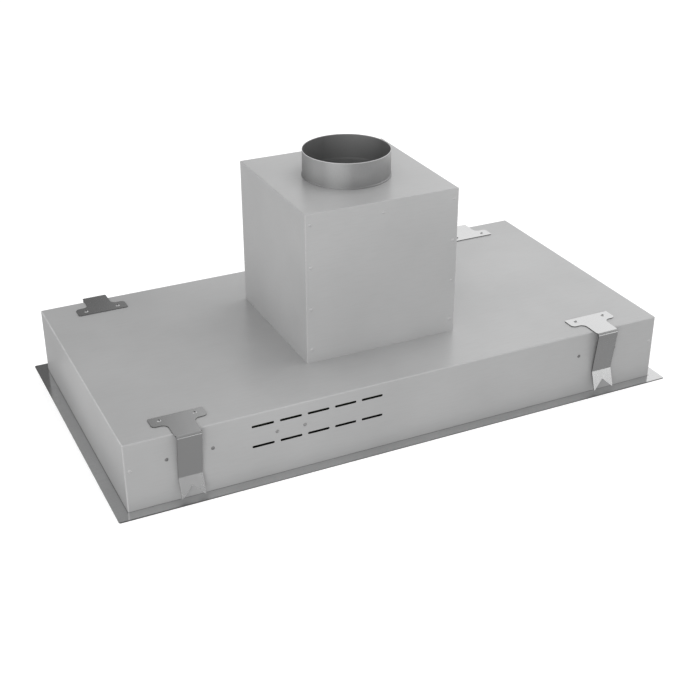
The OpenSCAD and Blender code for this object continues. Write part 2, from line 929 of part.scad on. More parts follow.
module damper_pin() {
    color(zinc) translate([0, 0, pin_z]) {
        rod_x(2 * (tube_r + fit_gap + pin_head_t), pin_r);
        for (s = [-1, 1])
            translate([s * (tube_r + fit_gap + pin_head_t / 2), 0, 0]) rod_x(pin_head_t, pin_head_r);
    }
}

// Half-round flap with two hubs on the pin: side is -1 at the front and 1 at the back
module damper_flap(side) {
    color(alloy) translate([0, 0, pin_z]) scale([side, side, 1]) difference() {
        union() {
            translate([0, 0, -plate_drop]) linear_extrude(flap_t) {
                intersection() {
                    circle(flap_r);
                    translate([-flap_r, hub_r + flap_split]) square([2 * flap_r, flap_r]);
                }
                for (share = hub_place_shares)
                    translate([share * flap_r - hub_l / 2, 0]) square([hub_l, 2 * hub_r]);
            }
            for (share = hub_place_shares) translate([share * flap_r, 0, 0]) rod_x(hub_l, hub_r);
        }
        rod_x(2 * flap_r, pin_r + pin_gap);
    }
}

module damper_flap_front() {
    damper_flap(-1);
}

module damper_flap_rear() {
    damper_flap(1);
}

// Block that blends from the collar's round tube to the blower's rectangular outlet
module adaptor_form(wall) {
    hull() {
        translate([0, 0, collar_low - adaptor_t]) cylinder(h = adaptor_t, r = tube_r - wall);
        translate([wall - side_x, fan_y + tongue_y - scroll_t + wall, outlet_z])
            cube([2 * (side_x - wall), outlet_back - tongue_y + 2 * (scroll_t - wall), adaptor_t]);
    }
}

// Sheet adaptor from the outlet to the collar, with a flat edge on the blower's top
module outlet_adaptor() {
    length = outlet_back - tongue_y + 2 * scroll_t;
    color(zinc) difference() {
        union() {
            adaptor_form(0);
            translate([-side_x - adaptor_edge, fan_y + tongue_y - scroll_t - adaptor_edge, outlet_z])
                cube([2 * (side_x + adaptor_edge), length + 2 * adaptor_edge, adaptor_t]);
        }
        adaptor_form(adaptor_t);
        translate([adaptor_t - side_x, fan_y + tongue_y - scroll_t + adaptor_t, outlet_z - overrun])
            cube([2 * (side_x - adaptor_t), length - 2 * adaptor_t, overrun + adaptor_t]);
        translate([0, 0, collar_low - adaptor_t]) cylinder(h = overrun + adaptor_t, r = tube_r - adaptor_t);
    }
}

// Outline of the scroll's inside with the outlet above it, from the fan's axis
module scroll_outline(more) {
    polygon(concat(
        spiral(more),
        [[outlet_back + more, outlet_rise], [tongue_y - more, outlet_rise]]
    ));
}

// Strip of the scroll: down the outlet's front wall to the tongue, round the spiral and up its back
module blower_scroll() {
    outside = [for (i = [len(spiral_angles) - 1 : -1 : 1]) spiral(scroll_t)[i]];
    color(zinc) translate([0, fan_y, fan_z]) along_x(scroll_w)
        polygon(concat(
            [[tongue_y, outlet_rise]],
            spiral(0),
            [[outlet_back, outlet_rise], [outlet_back + scroll_t, outlet_rise]],
            outside,
            [[tongue_y - scroll_t, tongue_z + 2 * scroll_t], [tongue_y - scroll_t, outlet_rise]]
        ));
}

// Side of the blower with its rolled inlet and the ears that hang it: side is -1 or 1
module blower_side(side) {
    color(zinc) scale([side, 1, 1]) {
        translate([scroll_w / 2 + scroll_t / 2, 0, 0]) along_x(scroll_t) difference() {
            union() {
                translate([fan_y, fan_z]) scroll_outline(scroll_t);
                translate([-ear_in - ear_w, outlet_z - ear_band]) square([2 * (ear_in + ear_w), ear_band]);
                for (s = [-1, 1])
                    translate([s * (ear_in + ear_w / 2) - ear_w / 2, outlet_z - ear_band])
                        square([ear_w, box_ceiling - outlet_z + ear_band]);
            }
            translate([fan_y, fan_z]) circle(inlet_r + lip_r);
        }
        for (s = [-1, 1])
            translate([side_x, s * (ear_in + ear_w / 2) - ear_w / 2, box_ceiling - scroll_t])
                cube([ear_fold, ear_w, scroll_t]);
        translate([side_x, fan_y, fan_z]) rotate([0, -90, 0]) rotate_extrude($fn = 96)
            intersection() {
                translate([inlet_r + lip_r, lip_r]) difference() {
                    circle(lip_r);
                    circle(lip_r - scroll_t);
                }
                translate([inlet_r - overrun, 0]) square([lip_r + overrun, lip_r]);
            }
    }
}

module blower_side_left() {
    blower_side(-1);
}

module blower_side_right() {
    blower_side(1);
}

// Outline of one blade, curved forwards, between the wheel's inner and outer radius
module blade_outline() {
    intersection() {
        difference() {
            circle(wheel_r);
            circle(wheel_r - blade_depth);
        }
        translate([wheel_r - blade_depth / 2, -blade_arc_r]) intersection() {
            difference() {
                circle(blade_arc_r);
                circle(blade_arc_r - blade_t);
            }
            translate([-blade_arc_r, 0]) square([2 * blade_arc_r, blade_arc_r]);
        }
    }
}

// All the blades, side by side round the wheel
module blade_circle() {
    for (i = [0 : blade_count - 1]) rotate(i * 360 / blade_count) blade_outline();
}

module impeller_blades() {
    color(alloy) translate([0, fan_y, fan_z]) along_x(wheel_w - 2 * ring_t) blade_circle();
}

// Rings that the blades' ends are fixed to
module impeller_rings() {
    color(alloy) translate([0, fan_y, fan_z])
        for (s = [-1, 1])
            translate([s * (wheel_w - ring_t) / 2, 0, 0]) along_x(ring_t) difference() {
                circle(wheel_r + ring_proud);
                circle(wheel_r - ring_w);
            }
}

// Disc across the middle of the wheel, notched for the blades, with the hub on it
module impeller_hub() {
    color(alloy) translate([0, fan_y, fan_z]) difference() {
        union() {
            along_x(disc_t) difference() {
                circle(wheel_r - blade_depth / 4);
                blade_circle();
            }
            translate([(hub_right - hub_left) / 2, 0, 0]) rod_x(hub_left + hub_right, hub_body_r);
        }
        rod_x(4 * hub_right, shaft_r);
    }
}

module motor_shaft() {
    left = motor_disc_gap + shaft_depth;
    right = hub_right + nut_t + shaft_end;
    color(clip_steel) translate([(right - left) / 2, fan_y, fan_z]) rod_x(left + right, shaft_r);
}

module impeller_nut() {
    color(zinc) translate([hub_right, fan_y, fan_z]) rotate([0, 90, 0]) difference() {
        cylinder(h = nut_t, r = nut_r, $fn = 6);
        translate([0, 0, -overrun]) cylinder(h = nut_t + 2 * overrun, r = shaft_r);
    }
}

// Motor in the left half of the wheel, in radius and place along its axis, from the disc leftwards
module fan_motor() {
    length = -mount_left - mount_t - motor_disc_gap;
    color(dark_plastic) translate([-motor_disc_gap, fan_y, fan_z]) rotate([0, -90, 0]) difference() {
        rotate_extrude($fn = 96) polygon([
            [0, 0],
            [motor_neck_r, 0],
            [motor_neck_r, motor_neck_l],
            [motor_r - motor_shoulder, motor_neck_l],
            [motor_r, motor_neck_l + motor_shoulder],
            [motor_r, length / 2 - motor_groove],
            [motor_r - motor_groove, length / 2 - motor_groove],
            [motor_r - motor_groove, length / 2 + motor_groove],
            [motor_r, length / 2 + motor_groove],
            [motor_r, length - motor_shoulder],
            [motor_r - motor_shoulder, length],
            [0, length]
        ]);
        translate([0, 0, -overrun])
            cylinder(h = shaft_depth + fit_gap + overrun, r = shaft_r + shaft_gap);
    }
}

// Three-armed plate behind the motor, held off the blower's side by rubber bushes
module motor_mount() {
    color(zinc) translate([mount_left + mount_t / 2, fan_y, fan_z]) along_x(mount_t) difference() {
        union() {
            circle(mount_ring_r);
            for (a = mount_angles) rotate(a) {
                translate([0, -mount_arm_w / 2]) square([bush_at, mount_arm_w]);
                translate([bush_at, 0]) circle(mount_arm_w / 2);
            }
        }
        circle(mount_hole_r);
    }
}

module motor_bushes() {
    color(dark_plastic)
        for (a = mount_angles)
            translate([
                -side_x - bush_l / 2,
                fan_y + bush_at * cos(a),
                fan_z + bush_at * sin(a)
            ])
                rod_x(bush_l, bush_r);
}

// Capacitor upright against the motor box's right wall
cap_x = box_w / 2 - sheet_t - clamp_foot_d - cap_r;
cap_y = box_d / 2 - cap_y_in;
cap_z = casing_top + cap_rise;

module motor_capacitor() {
    color(alloy) translate([cap_x, cap_y, cap_z]) {
        cylinder(h = cap_l, r = cap_r);
        translate([0, 0, cap_l]) cylinder(h = cap_lid_t, r = cap_lid_r);
        for (s = [-1, 1])
            translate([0, s * cap_lid_r / 2, cap_l]) cylinder(h = cap_pin_h, r = cap_pin_r);
    }
}

module capacitor_clamp() {
    color(zinc) translate([cap_x, cap_y, cap_z + (cap_l - clamp_h) / 2]) {
        difference() {
            union() {
                cylinder(h = clamp_h, r = cap_r + fit_gap + clamp_t);
                translate([cap_r + clamp_foot_d - clamp_t, -clamp_foot_w / 2, 0])
                    cube([clamp_t, clamp_foot_w, clamp_h]);
                translate([0, -cap_r / 3, 0]) cube([cap_r + clamp_foot_d, 2 * cap_r / 3, clamp_h]);
            }
            translate([0, 0, -overrun]) cylinder(h = clamp_h + 2 * overrun, r = cap_r + fit_gap);
        }
    }
}

// Electronics box: a tray against the front wall, with the wall's slots cut through it too
elec_front = sheet_t - casing_d / 2;

module electronics_box() {
    color(dark_plastic) difference() {
        translate([elec_x - elec_w / 2, elec_front, elec_top - elec_h])
            cube([elec_w, elec_d, elec_h]);
        translate([
            elec_x - elec_w / 2 + elec_t,
            elec_front + elec_t,
            elec_top - elec_h + elec_t
        ])
            cube([elec_w - 2 * elec_t, elec_d, elec_h - 2 * elec_t]);
        vent_slots(2 * (sheet_t + elec_t + overrun));
        at_casing_rivets(elec_rivets()) rivet_hole();
    }
}

module electronics_lid() {
    color(dark_plastic) {
        translate([elec_x - elec_w / 2, elec_front + elec_d, elec_top - elec_h])
            cube([elec_w, elec_t, elec_h]);
        translate([
            elec_x - elec_w / 2 + elec_t + fit_gap,
            elec_front + elec_d - elec_t,
            elec_top - elec_h + elec_t + fit_gap
        ])
            cube([elec_w - 2 * (elec_t + fit_gap), elec_t, elec_h - 2 * (elec_t + fit_gap)]);
    }
}

// Circuit board upright in the box, between its ends, with relays and a transformer
module control_board() {
    board_y = elec_front + elec_t + board_in;
    color(board_green) {
        translate([elec_x - elec_w / 2 + elec_t, board_y, elec_top - elec_h + elec_t])
            cube([elec_w - 2 * elec_t, board_t, elec_h - 2 * elec_t]);
        for (i = [-1 : 1])
            translate([
                elec_x + i * 2 * relay_l - relay_l / 2,
                board_y + board_t,
                elec_top - elec_h / 2 - relay_h / 2
            ])
                cube([relay_l, relay_d, relay_h * (2 - abs(i))]);
    }
}

module led_driver() {
    color(lens_white)
        translate([driver_x - driver_l / 2, elec_front + driver_foot, casing_ceiling - driver_h])
            cube([driver_l, driver_w, driver_h]);
    color(lens_white)
        translate([
            driver_x - driver_l / 2 - driver_foot,
            elec_front + driver_foot,
            casing_ceiling - driver_foot_t
        ])
            cube([driver_l + 2 * driver_foot, driver_w, driver_foot_t]);
}

// Gland for the mains lead: nut below the sheet, hexagon and dome above it
module cable_gland() {
    color(dark_plastic) translate([gland_x, casing_d / 2 - gland_y_in, casing_top]) difference() {
        union() {
            cylinder(h = gland_hex_t, r = gland_hex_r, $fn = 6);
            translate([0, 0, gland_hex_t]) cylinder(h = gland_dome_h, r1 = gland_cap_r, r2 = gland_r);
            translate([0, 0, -sheet_t - gland_thread]) cylinder(h = sheet_t + gland_thread, r = gland_r);
            translate([0, 0, -sheet_t - gland_nut_t]) cylinder(h = gland_nut_t, r = gland_hex_r, $fn = 6);
        }
        translate([0, 0, -sheet_t - gland_thread - overrun])
            cylinder(h = sheet_t + gland_thread + gland_hex_t + gland_dome_h + 2 * overrun, r = gland_bore_r);
    }
}

// Frame on top of the upstand: a skirt inside it, a ledge over the filters, and two cross bars
module filter_support() {
    color(zinc) difference() {
        union() {
            translate([0, 0, upstand_h]) difference() {
                linear_extrude(skirt_t)
                    round_rect(
                        open_w + 2 * (upstand_t + support_lip),
                        open_d + 2 * (upstand_t + support_lip),
                        open_r + upstand_t
                    );
                for (i = [-1 : 1])
                    translate([i * filter_pitch, 0, -overrun])
                        linear_extrude(skirt_t + 2 * overrun)
                            square([filter_w - 2 * ledge_w, filter_d - 2 * ledge_w], center = true);
            }
            translate([0, 0, upstand_h - skirt_h])
                sheet_ring(
                    skirt_h, open_w, open_d, open_r + fit_gap,
                    open_w - 2 * skirt_t, open_d - 2 * skirt_t, open_r
                );
        }
        latch_slots();
    }
}

// Filter edge channels with a groove for the mesh, and the latch's rails under their front
module filter_frames() {
    color(alloy) for (place = [-1 : 1]) translate([place * filter_pitch, 0, 0]) {
        translate([0, 0, filter_z]) difference() {
            linear_extrude(filter_h) round_rect(filter_w, filter_d, filter_r);
            translate([0, 0, -overrun])
                linear_extrude(filter_h + 2 * overrun)
                    square([filter_w - 2 * filter_bar, filter_d - 2 * filter_bar], center = true);
            translate([0, 0, (filter_h - mesh_t) / 2])
                linear_extrude(mesh_t) square([mesh_w, mesh_d], center = true);
        }
        for (s = [-1, 1]) scale([s, 1, 1]) latch_rail();
    }
}

// Rail with an inward lip, on the right of the latch
module latch_rail() {
    rail_x = latch_w / 2 + fit_gap;
    rail_low = latch_top - latch_t - fit_gap - rail_t;
    translate([rail_x, latch_front, rail_low]) cube([rail_t, filter_bar - latch_in, filter_z - rail_low]);
    translate([rail_x - rail_lip, latch_front, rail_low])
        cube([rail_lip + rail_t, filter_bar - latch_in, rail_t]);
}

// Expanded mesh: rows of diamonds, each row shifted by half a diamond
module filter_meshes() {
    diamond_x = diamond_l / 2 - strand_w;
    diamond_y = diamond_x * diamond_h / diamond_l;
    color(alloy) for (place = [-1 : 1])
        translate([place * filter_pitch, 0, filter_z + (filter_h - mesh_t) / 2])
            linear_extrude(mesh_t) difference() {
                square([mesh_w, mesh_d], center = true);
                for (shift = [0, 1], i = [0 : mesh_cols - 1 - shift], j = [0 : mesh_rows - 1 - shift])
                    translate([
                        (i - (mesh_cols - 1 - shift) / 2) * diamond_l,
                        (j - (mesh_rows - 1 - shift) / 2) * diamond_h
                    ])
                        polygon([[-diamond_x, 0], [0, -diamond_y], [diamond_x, 0], [0, diamond_y]]);
            }
}

// Latch: plate in the rails, tongue through the upstand and a tab for the finger
module filter_latch(place) {
    tongue_front = -open_d / 2 - upstand_t - latch_reach;
    color(dark_plastic) translate([place * filter_pitch, 0, latch_top - latch_t]) {
        translate([-latch_w / 2, latch_front, 0]) cube([latch_w, latch_l, latch_t]);
        translate([-latch_tongue_w / 2, tongue_front, 0])
            cube([latch_tongue_w, latch_back - tongue_front, latch_t]);
        translate([-latch_tongue_w / 2, latch_back - latch_tab_t, -latch_tab_h])
            cube([latch_tongue_w, latch_tab_t, latch_tab_h + latch_t]);
    }
}

module filter_latch_left() {
    filter_latch(-1);
}

module filter_latch_middle() {
    filter_latch(0);
}

module filter_latch_right() {
    filter_latch(1);
}

// Panel skin: a shallow tray, open upwards, with its lower edges rounded
module suction_panel_skin() {
    tray_h = panel_h - back_t;
    color(flange_steel) translate([0, 0, panel_lift + tray_h]) scale([1, 1, -1]) difference() {
        folded_block(panel_w, panel_d, tray_h, bend_r);
        translate([0, 0, -skin_t])
            folded_block(panel_w - 2 * skin_t, panel_d - 2 * skin_t, tray_h, bend_r - skin_t / 2);
    }
}

// Sheet that closes the panel from above, and that the catches hold
module suction_panel_back() {
    color(zinc) translate([0, 0, panel_top - back_t])
        linear_extrude(back_t) round_rect(panel_w - 2 * fit_gap, panel_d - 2 * fit_gap, panel_corner_r);
}

// Moving hinge leaves on the panel's rear wall, each with one knuckle
module panel_hinges() {
    color(zinc) for (side = [-1, 1]) translate([side * hinge_x, 0, 0]) difference() {
        union() {
            translate([-knuckle_l / 2 - outer_knuckle_l, panel_d / 2, hinge_z - leaf_h / 2])
                cube([knuckle_l + 2 * outer_knuckle_l, leaf_t, leaf_h]);
            translate([-knuckle_l / 2, panel_d / 2, hinge_z - knuckle_r / 2])
                cube([knuckle_l, hinge_out, knuckle_r]);
            translate([0, hinge_y, hinge_z]) rod_x(knuckle_l, knuckle_r);
        }
        translate([0, hinge_y, hinge_z]) rod_x(2 * knuckle_l, hinge_pin_r + pin_gap);
    }
}

// Fixed hinge brackets on the upstand, each with a knuckle on both sides of the moving one
module hinge_brackets() {
    low = hinge_z - bracket_web_h / 3;
    color(zinc) for (side = [-1, 1]) translate([side * hinge_x, 0, 0]) difference() {
        union() {
            translate([-knuckle_l / 2 - knuckle_gap - outer_knuckle_l, open_d / 2 - bracket_t, low])
                cube([knuckle_l + 2 * (knuckle_gap + outer_knuckle_l), bracket_t, bracket_h]);
            for (s = [-1, 1])
                translate([s * (knuckle_l / 2 + knuckle_gap + outer_knuckle_l / 2), 0, 0]) {
                    translate([-outer_knuckle_l / 2, hinge_y, low])
                        cube([outer_knuckle_l, open_d / 2 - hinge_y, bracket_web_h]);
                    translate([0, hinge_y, hinge_z]) rod_x(outer_knuckle_l, knuckle_r);
                }
        }
        translate([0, hinge_y, hinge_z]) rod_x(2 * (knuckle_l + 2 * outer_knuckle_l), hinge_pin_r);
    }
}

module hinge_pins() {
    color(clip_steel)
        for (s = [-1, 1])
            translate([s * hinge_x, hinge_y, hinge_z])
                rod_x(knuckle_l + 2 * (knuckle_gap + outer_knuckle_l), hinge_pin_r);
}

// Arms over the panel's front edge, each with a magnet under its end
catch_arm_z = panel_top + fit_gap + magnet_h;

module catch_brackets() {
    color(zinc)
        for (s = [-1, 1])
            translate([s * catch_x - catch_w / 2, -open_d / 2, catch_arm_z]) {
                cube([catch_w, catch_arm, catch_arm_t]);
                cube([catch_w, catch_arm_t, catch_plate_h]);
            }
}

module catch_magnets() {
    color(magnet_grey)
        for (s = [-1, 1])
            translate([
                s * catch_x - magnet_w / 2,
                catch_arm - magnet_d - open_d / 2,
                catch_arm_z - magnet_h
            ])
                cube([magnet_w, magnet_d, magnet_h]);
}

// Four spot lights: finned bodies on the flange, and lenses in its holes
module led_housings() {
    body_r = led_r + led_wall;
    seat = led_recess + led_lens_t;
    color(magnet_grey)
        for (sx = [-1, 1], sy = [-1, 1])
            translate([sx * led_x, sy * led_y, 0])
                rotate_extrude() polygon([
                    [0, seat],
                    [led_r + fit_gap, seat],
                    [led_r + fit_gap, flange_t],
                    [body_r, flange_t],
                    [body_r, flange_t + 2 * led_fin_h],
                    [body_r - led_fin_in, flange_t + 2 * led_fin_h],
                    [body_r - led_fin_in, flange_t + 3 * led_fin_h],
                    [body_r, flange_t + 3 * led_fin_h],
                    [body_r, flange_t + 4 * led_fin_h],
                    [body_r - led_fin_in, flange_t + 4 * led_fin_h],
                    [body_r - led_fin_in, flange_t + 5 * led_fin_h],
                    [body_r, flange_t + 5 * led_fin_h],
                    [body_r, flange_t + 6 * led_fin_h],
                    [body_r - led_fin_in, flange_t + 6 * led_fin_h],
                    [body_r - led_fin_in, led_body_h],
                    [0, led_body_h]
                ]);
}

module led_lenses() {
    color(lens_white)
        for (sx = [-1, 1], sy = [-1, 1])
            translate([sx * led_x, sy * led_y, led_recess]) cylinder(h = led_lens_t, r = led_r);
}

// Receiver for the remote control, in the flange's front border
module sensor_housing() {
    seat = led_recess + sensor_t;
    color(dark_plastic) translate([0, sensor_y, 0]) difference() {
        translate([-sensor_w / 2, -sensor_d / 2, flange_t]) cube([sensor_w, sensor_d, sensor_h]);
        translate([0, 0, flange_t - overrun])
            cylinder(h = seat - flange_t + overrun, r = sensor_r + fit_gap);
    }
}

module sensor_lens() {
    color(dark_plastic) translate([0, sensor_y, led_recess]) cylinder(h = sensor_t, r = sensor_r);
}

ceiling_flange();
casing_top_sheet();
casing_front();
casing_back();
casing_ends();
corner_angles();
clip_angles();
motor_box_top();
motor_box_back();
motor_box_sides();
motor_box_frame();
motor_box_front();
casing_rivets();
motor_box_rivets();
clip_front_left();
clip_front_right();
clip_rear_left();
clip_rear_right();
clip_screws();
duct_collar();
damper_pin();
damper_flap_front();
damper_flap_rear();
outlet_adaptor();
blower_scroll();
blower_side_left();
blower_side_right();
impeller_blades();
impeller_rings();
impeller_hub();
motor_shaft();
impeller_nut();
fan_motor();
motor_mount();
motor_bushes();
motor_capacitor();
capacitor_clamp();
electronics_box();
electronics_lid();
control_board();
led_driver();
cable_gland();
filter_support();
filter_frames();
filter_meshes();
filter_latch_left();
filter_latch_middle();
filter_latch_right();
suction_panel_skin();
suction_panel_back();
panel_hinges();
hinge_brackets();
hinge_pins();
catch_brackets();
catch_magnets();
led_housings();
led_lenses();
sensor_housing();
sensor_lens();
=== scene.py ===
"""Looks of the ceiling range hood: materials, light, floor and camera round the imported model."""

import json
import math

import bpy
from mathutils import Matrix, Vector


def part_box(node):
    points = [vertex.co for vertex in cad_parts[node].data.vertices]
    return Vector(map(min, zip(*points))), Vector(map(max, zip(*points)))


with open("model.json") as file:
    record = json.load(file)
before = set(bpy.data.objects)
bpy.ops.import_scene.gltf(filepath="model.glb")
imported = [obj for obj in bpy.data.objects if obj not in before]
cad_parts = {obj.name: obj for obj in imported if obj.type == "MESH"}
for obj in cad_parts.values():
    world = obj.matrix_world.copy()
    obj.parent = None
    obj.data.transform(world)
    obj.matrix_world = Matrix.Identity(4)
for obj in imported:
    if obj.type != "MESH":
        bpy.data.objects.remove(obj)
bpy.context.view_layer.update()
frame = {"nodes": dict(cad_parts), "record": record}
nodes = frame["nodes"]
record = frame["record"]

# Sizes, in metres


def half_box(node):
    """Half width, half depth and top of a node's box."""
    low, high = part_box(node)
    return high[0], -low[1], high[2]


CASING = half_box("casing_top_sheet")
FLANGE = half_box("ceiling_flange")
SLOTS_HALF_SPAN = 0.3
SLOTS_Z = 0.055
SLOTS_HALF_HEIGHT = 0.045
CORNER_RIVETS_X = 0.44
SCREW_HEAD_R = 0.0034
SCREW_HALF_SPACING = 0.0282
RECESS_HALF_ARM = 0.0006
RECESS_REACH = 0.0021

# Node helpers


class Shader:
    """A small wrapper that adds and links nodes of one material."""

    def __init__(self, name):
        self.material = bpy.data.materials.new(name)
        self.material.use_nodes = True
        self.tree = self.material.node_tree
        self.bsdf = self.tree.nodes["Principled BSDF"]
        coordinates = self.add("ShaderNodeTexCoord")
        self.place = coordinates.outputs["Object"]
        self.facing = coordinates.outputs["Normal"]

    def add(self, kind, **settings):
        node = self.tree.nodes.new(kind)
        for key, value in settings.items():
            setattr(node, key, value)
        return node

    def link(self, source, target):
        self.tree.links.new(source, target)

    def set(self, **sockets):
        """Sets sockets of the shader, by name with _ for a space."""
        for key, value in sockets.items():
            self.bsdf.inputs[key.replace("_", " ")].default_value = value

    def mapping(self, scale, rotation=(0, 0, 0)):
        node = self.add("ShaderNodeMapping")
        node.inputs["Scale"].default_value = scale
        node.inputs["Rotation"].default_value = rotation
        self.link(self.place, node.inputs["Vector"])
        return node.outputs["Vector"]

    def noise(self, scale, detail=2.0, stretch=(1, 1, 1)):
        node = self.add("ShaderNodeTexNoise")
        node.inputs["Scale"].default_value = scale
        node.inputs["Detail"].default_value = detail
        self.link(self.mapping(stretch), node.inputs["Vector"])
        return node.outputs["Fac"]

    def ramp(self, value, low, high, start=0.0, end=1.0):
        """Maps a value from start..end to low..high."""
        node = self.add("ShaderNodeMapRange")
        node.inputs["From Min"].default_value = start
        node.inputs["From Max"].default_value = end
        node.inputs["To Min"].default_value = low
        node.inputs["To Max"].default_value = high
        self.link(value, node.inputs["Value"])
        return node.outputs["Result"]

    def math(self, operation, a, b=0.0):
        node = self.add("ShaderNodeMath", operation=operation)
        for socket, value in zip(node.inputs, (a, b)):
            if isinstance(value, (int, float)):
                socket.default_value = value
            else:
                self.link(value, socket)
        return node.outputs["Value"]

    def chain(self, operation, first, *others):
        """Applies a maths operation to two or more values, one after another."""
        for other in others:
            first = self.math(operation, first, other)
        return first

    def vector(self, operation, a, b=None, output="Vector"):
        """Vector maths on sockets or tuples."""
        node = self.add("ShaderNodeVectorMath", operation=operation)
        for socket, value in zip(node.inputs, (a, b)):
            if isinstance(value, tuple):
                socket.default_value = value
            elif value is not None:
                self.link(value, socket)
        return node.outputs[output]

    def parts(self, vector):
        """The X, Y and Z of a vector."""
        split = self.add("ShaderNodeSeparateXYZ")
        self.link(vector, split.inputs["Vector"])
        return split.outputs

    def size(self, vector, axis):
        """A vector's part along an axis, without its sign."""
        return self.math("ABSOLUTE", self.parts(vector)[axis])

    def mix(self, share, a, b):
        """Mixes two colours, each a tuple or a socket."""
        node = self.add("ShaderNodeMix", data_type="RGBA")
        self.link(share, node.inputs["Factor"])
        for socket, value in ((node.inputs[6], a), (node.inputs[7], b)):
            if isinstance(value, tuple):
                socket.default_value = (*value, 1)
            else:
                self.link(value, socket)
        return node.outputs[2]

    def graded(self, value, start, end, a, b):
        """Goes from colour a to colour b as a value goes from start to end."""
        return self.mix(self.ramp(value, 0.0, 1.0, start, end), a, b)

    def colour(self, socket):
        self.link(socket, self.bsdf.inputs["Base Color"])

    def rough(self, socket):
        self.link(socket, self.bsdf.inputs["Roughness"])

    def bump(self, height, strength, distance):
        node = self.add("ShaderNodeBump")
        node.inputs["Strength"].default_value = strength
        node.inputs["Distance"].default_value = distance
        self.link(height, node.inputs["Height"])
        self.link(node.outputs["Normal"], self.bsdf.inputs["Normal"])

    def above(self, z):
        """1 where a place is higher than z."""
        return self.math("GREATER_THAN", self.size(self.place, "Z"), z)

    def near(self, axis, edge, reach):
        """1 on the outer part of the reach up to the edge, and 0 from the reach inwards."""
        outer_part = 0.3 * reach
        return self.ramp(self.size(self.place, axis), 0.0, 1.0, edge - reach, edge - outer_part)

    def bends(self, box, weights, reach=0.0022):
        """Up to a weight along the bends of a folded box: upright, side and front or rear bends."""
        x, y, z = (self.near(axis, edge, reach) for axis, edge in zip("XYZ", box))
        pairs = zip((x, x, y), (y, z, z), weights)
        return self.chain("MAXIMUM", *[self.chain("MULTIPLY", a, b, weight) for a, b, weight in pairs])

    def slot_walls(self, slanted=0.5):
        """1 on the cut faces of the vent slots, which face along the sheet."""
        along = self.math("LESS_THAN", self.size(self.facing, "Y"), slanted)
        middle = self.math("LESS_THAN", self.size(self.place, "X"), SLOTS_HALF_SPAN)
        height = self.math("COMPARE", self.size(self.place, "Z"), SLOTS_Z)
        height.node.inputs[2].default_value = SLOTS_HALF_HEIGHT
        return self.chain("MULTIPLY", along, middle, height)

    def painted_foot_shade(self, half_x, half_y, full=0.0006, reach=0.0018, top_z=0.0005):
        """1 on the flange's top right where the casing stands on it, where shade is painted, and 0 from
        the reach away.
        """
        out_x = self.math("SUBTRACT", self.size(self.place, "X"), half_x)
        out_y = self.math("SUBTRACT", self.size(self.place, "Y"), half_y)
        gap = self.math("ABSOLUTE", self.math("MAXIMUM", out_x, out_y))
        return self.math("MULTIPLY", self.ramp(gap, 1.0, 0.0, full, reach), self.above(top_z))

    def painted_rim_shade(self, half_x, half_y, reach=0.002, top_z=0.0002):
        """Painted shade along the long edges of the flange's top, faint, and stronger towards its corners.
        """
        faint, strong = 0.12, 0.7
        start, end = 0.55 * half_x, 0.9 * half_x
        towards_corner = self.ramp(self.size(self.place, "X"), faint, strong, start, end)
        return self.chain("MULTIPLY", self.near("Y", half_y, reach), towards_corner, self.above(top_z))

    def painted_side_shade(self, square=0.7):
        """1 on the faces of a clip that look along the hood, where shade is painted."""
        return self.math("GREATER_THAN", self.size(self.facing, "X"), square)

    def plate_rim(self, plate_z, upright=0.15):
        """1 on the upright faces above plate_z: the rim of a clip's plate, where shade is painted."""
        on_side = self.math("LESS_THAN", self.size(self.facing, "Z"), upright)
        return self.math("MULTIPLY", on_side, self.above(plate_z))

    def edges(self, radius, flat=0.8):
        """0 on flat places and up to 1 along edges, from the shader's rounded normal."""
        bevel = self.add("ShaderNodeBevel", samples=4)
        bevel.inputs["Radius"].default_value = radius
        true_normal = self.add("ShaderNodeNewGeometry").outputs["Normal"]
        likeness = self.vector("DOT_PRODUCT", bevel.outputs["Normal"], true_normal, "Value")
        return self.ramp(likeness, 1.0, 0.0, flat, 1.0)

    def painted_recess_shade(self, places):
        """1 on a cross on each screw at (x, y), for screws driven from above: painted shade of a cross
        recess, which the heads' shape lacks.
        """
        place = self.parts(self.place)
        crosses = []
        for x, y in places:
            off_x = self.math("ABSOLUTE", self.math("SUBTRACT", place["X"], x))
            off_y = self.math("ABSOLUTE", self.math("SUBTRACT", place["Y"], y))
            long = self.math("LESS_THAN", self.math("MAXIMUM", off_x, off_y), RECESS_REACH)
            thin = self.math("LESS_THAN", self.math("MINIMUM", off_x, off_y), RECESS_HALF_ARM)
            crosses.append(self.math("MULTIPLY", long, thin))
        return self.chain("MAXIMUM", *crosses)


def tone(value, tint=(1.0, 1.0, 1.0)):
    """A near-grey linear colour from a display value of 0 to 255."""
    v = value / 255
    linear = v / 12.92 if v <= 0.04045 else ((v + 0.055) / 1.055) ** 2.4
    return tuple(linear * t for t in tint)


COOL = (0.997, 1.0, 1.003)
ZINC_TINT = (0.98, 1.0, 1.03)
LACQUER_GREEN = (0.5, 1.0, 0.6)
TRACK_GREEN = (0.8, 1.0, 0.5)

# Metals


